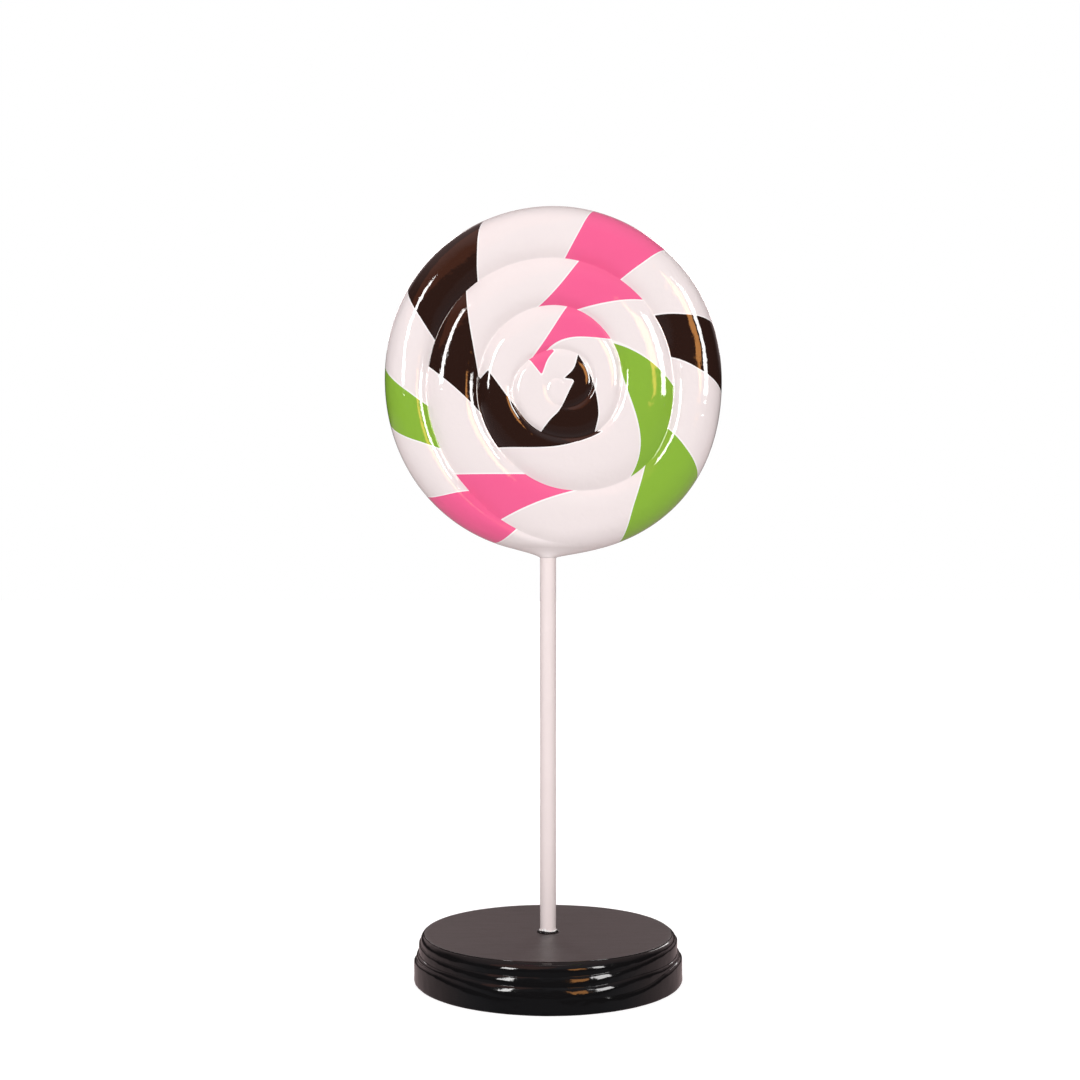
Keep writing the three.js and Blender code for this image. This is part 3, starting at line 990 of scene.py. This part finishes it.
def make_collar(disc):
    """White filler drawn down from the disc's underside onto the pole."""
    surface = BVHTree.FromPolygons(
        [v.co for v in disc.data.vertices], [tuple(f.vertices) for f in disc.data.polygons]
    )

    def underside(x, y):
        """The disc's height above a point, the lowest of a few rays, as one may slip by an edge."""
        starts = [
            Vector((x + across, y + along, pole_low.z))
            for across in (-BESIDE_SEAM, BESIDE_SEAM)
            for along in (-BESIDE_SEAM, BESIDE_SEAM)
        ]
        hits = [surface.ray_cast(start, Vector((0, 0, 1)))[0] for start in starts]
        return min(hit.z for hit in hits if hit is not None)

    shares = np.arange(COLLAR_COLUMNS) / COLLAR_COLUMNS
    angle = shares * FULL_TURN
    side = np.sin(angle)
    reach_across = np.where(side > 0, COLLAR_REACH_RIGHT, COLLAR_REACH_LEFT)
    outer_ring = np.stack([reach_across * side, -COLLAR_REACH_BACK * np.cos(angle)], axis=1)
    inner_ring = POLE_RADIUS * np.stack([side, -np.cos(angle)], axis=1)
    full_drops = [underside(x, y) - COLLAR_BOTTOM for x, y in inner_ring]
    rows = []
    for out in np.linspace(0, 1, COLLAR_ROWS + 1):
        tuck = COLLAR_TUCK * smooth_step(COLLAR_TUCK_FROM, 1, out)
        row = []
        for inner, outer, full_drop in zip(inner_ring, outer_ring, full_drops):
            x, y = inner + (outer - inner) * out**COLLAR_SPREAD
            row.append((x, y, underside(x, y) - full_drop * (1 - out) ** 2 + tuck))
        rows.append(row)
    rows = [[(x, y, z + COLLAR_ROOT) for x, y, z in rows[0]]] + rows
    collar = ringed_skin("filler_collar", rows, round_again=True)
    finish = film_finish("collar_white", SUGAR_WHITE, COLLAR_FILM, lacquered=True)
    collar.data.materials.append(finish)
    keep_piece(collar, "swirl_paint")


make_pole()
make_foot()
disc = make_swirl_disc()
make_collar(disc)
make_seal("black_sealant", "foot_paint", foot_gloss(), SEALANT_PROFILE, size=0.0045, seed=5)
bead_white = film_finish("bead_white", BEAD_WHITE, BEAD_FILM)
make_seal("white_bead", "pole_paint", bead_white, BEAD_PROFILE, size=0.004, seed=6)

# ---------------------------------------------------------------- stage, light and camera
IMAGE_SIZE = 1080
FOCAL_PIXELS = 1639
SENSOR = 36.0
CAMERA_PLACE = Vector((-0.0095, -1.940, 0.5183))
FLOOR_HALF_WIDTH = 12.0
FLOOR_GREY = (0.4, 0.4, 0.4, 1)
FLOOR_GLOW = (0.8, 1.0)  # near the prop, and far from it
FLOOR_GLOW_REACH = (0.3, 3.0)
PANEL_AIM = Vector((0, 0, 0.6))
PANEL_TILT = 0.5  # how much of the slope towards its aim a panel takes
WHITE_LIGHT = (1, 0.99, 0.98)
COOL_LIGHT = (0.95, 0.98, 1)
WARM_LIGHT = (1, 0.96, 0.92)
BROWN_LIGHT = (1, 0.28, 0.12)
ORANGE_LIGHT = (1, 0.42, 0.12)
# Panels round the prop: the name, azimuth, distance, width, low and high edge, colour and watts.
# Azimuth 0 is the camera's side, and 90 the right. These are for the gloss alone: two softboxes
# before the prop, two behind it, and warm walls beside them.
GLOSS_PANELS = [
    ("left_softbox", -36, 2.6, 0.36, 0.93, 2.12, WHITE_LIGHT, 23),
    ("right_softbox", 46, 2.6, 0.56, 0.75, 2.15, WHITE_LIGHT, 34),
    ("back_left_softbox", -161, 2.6, 0.3, 1.1, 2.3, WHITE_LIGHT, 5.5),
    ("back_right_softbox", 159, 2.6, 0.36, 1.1, 2.3, WHITE_LIGHT, 6.5),
    ("warm_wall", 25.6, 3.2, 0.88, 1.15, 2.1, ORANGE_LIGHT, 14),
    ("warm_wall_low", 23.5, 3.2, 0.4, 0.85, 1.15, ORANGE_LIGHT, 2),
    ("brown_board", -34, 0.9, 1.4, 1.08, 2.8, BROWN_LIGHT, 2.8),
]
# And these are for the soft light alone
SOFT_PANELS = [
    ("front_fill", 0, 2.6, 5.6, 0.2, 3.1, WHITE_LIGHT, 122),
    ("left_fill", -80, 2.6, 2.4, 0.2, 3.0, COOL_LIGHT, 16),
    ("right_fill", 80, 2.6, 2.4, 0.2, 3.0, WHITE_LIGHT, 8),
    ("back_fill", 180, 2.8, 5.6, 0.2, 3.1, WHITE_LIGHT, 112),
]
BOUNCE_WIDTH = 3.0
BOUNCE_WATTS = 12
BOUNCE_HEIGHT = 2 * MM
# The room as the gloss shows it, as shares of full white
ROOM_COLORS = (srgb(226, 230, 240), srgb(255, 228, 228))  # before the prop, and behind it
ROOM_GLOW = 0.03
BACK_WALL_GLOW = 0.52
CEILING_GLOW = 0.3
GROUND_GLOW = (0.1, 0.4)  # before the prop, and behind it


def make_floor():
    mesh = bpy.data.meshes.new("floor")
    half = FLOOR_HALF_WIDTH
    corners = [(-half, -half, 0), (half, -half, 0), (half, half, 0), (-half, half, 0)]
    mesh.from_pydata(corners, [], [(0, 1, 2, 3)])
    floor = new_object("floor", mesh)
    material, tree, shader = new_material("pale_floor")
    shader.inputs["Base Color"].default_value = FLOOR_GREY
    shader.inputs["Roughness"].default_value = 0.8
    shader.inputs["Specular IOR Level"].default_value = 0.2
    shader.inputs["Emission Color"].default_value = (1, 1, 1, 1)
    place = tree.add("ShaderNodeTexCoord")["Object"]
    glow = tree.ease(tree.measure("LENGTH", place), *FLOOR_GLOW_REACH, *FLOOR_GLOW)
    tree.links.new(glow, shader.inputs["Emission Strength"])
    mesh.materials.append(material)
    floor.visible_glossy = False
    floor.visible_diffuse = False


def new_light(name, size, place, color, watts):
    data = bpy.data.lights.new(name, "AREA")
    data.shape = "RECTANGLE"
    data.size, data.size_y = size
    data.energy = watts
    data.color = color
    light = new_object(name, data)
    light.location = place
    light.visible_camera = False
    return light


def make_panel_light(name, azimuth, distance, width, low, high, color, watts, glossy):
    """A panel of light that stands round the prop, for its gloss or for its soft light alone."""
    angle = math.radians(azimuth)
    place = Vector((distance * math.sin(angle), -distance * math.cos(angle), (low + high) / 2))
    light = new_light(name, (width, high - low), place, color, watts)
    aim = PANEL_AIM - place
    aim.z *= PANEL_TILT
    light.rotation_euler = aim.to_track_quat("-Z", "Y").to_euler()
    light.visible_glossy = glossy
    light.visible_diffuse = not glossy


def make_floor_bounce():
    """Soft light that comes back up from the pale floor."""
    size, place = (BOUNCE_WIDTH, BOUNCE_WIDTH), (0, 0, BOUNCE_HEIGHT)
    light = new_light("floor_bounce", size, place, WARM_LIGHT, BOUNCE_WATTS)
    light.rotation_euler = (math.pi, 0, 0)
    light.visible_glossy = False


def make_surroundings():
    """A white view for the camera, and for reflections a dim room, dark in front."""
    world = bpy.data.worlds.new("studio")
    bpy.context.scene.world = world
    world.use_nodes = True
    tree = Tree(world.node_tree)
    tree.nodes.clear()
    ray = tree.add("ShaderNodeLightPath")["Is Camera Ray"]
    white = tree.add("ShaderNodeBackground", {"Color": (1, 1, 1, 1), "Strength": 1.0})[0]
    view = tree.add("ShaderNodeSeparateXYZ", (tree.add("ShaderNodeTexCoord")["Generated"],))
    back, up = view["Y"], view["Z"]  # how far a direction points to the back, and up
    walls = tree.mix_colors(tree.ease(back, -0.7, 0.2), *ROOM_COLORS)
    back_wall = tree.ease(back, 0.2, 0.9, 0.0, BACK_WALL_GLOW)
    back_wall = tree.math("MULTIPLY", tree.ease(up, 0.08, 0.25), back_wall)
    ceiling = tree.ease(up, 0.4, 0.9, 0.0, CEILING_GLOW)
    ground = tree.ease(back, -0.95, 0.4, *GROUND_GLOW)
    ground = tree.math("MULTIPLY", tree.ease(up, -0.03, -0.18), ground)
    glow = tree.math("MAXIMUM", tree.math("MAXIMUM", back_wall, ceiling), ground)
    glow = tree.math("MAXIMUM", glow, ROOM_GLOW)
    room = tree.add("ShaderNodeBackground", {"Color": walls, "Strength": glow})[0]
    mix = tree.add("ShaderNodeMixShader", (ray, room, white))[0]
    tree.add("ShaderNodeOutputWorld", (mix,))


def make_camera():
    data = bpy.data.cameras.new("camera")
    data.sensor_width = SENSOR
    data.lens = SENSOR * FOCAL_PIXELS / IMAGE_SIZE
    data.clip_end = 100
    camera = new_object("camera", data)
    camera.location = CAMERA_PLACE
    camera.rotation_euler = (math.pi / 2, 0, 0)
    bpy.context.scene.camera = camera


make_floor()
for panel in GLOSS_PANELS:
    make_panel_light(*panel, glossy=True)
for panel in SOFT_PANELS:
    make_panel_light(*panel, glossy=False)
make_floor_bounce()
make_surroundings()
make_camera()
bpy.context.scene.view_settings.view_transform = "Standard"
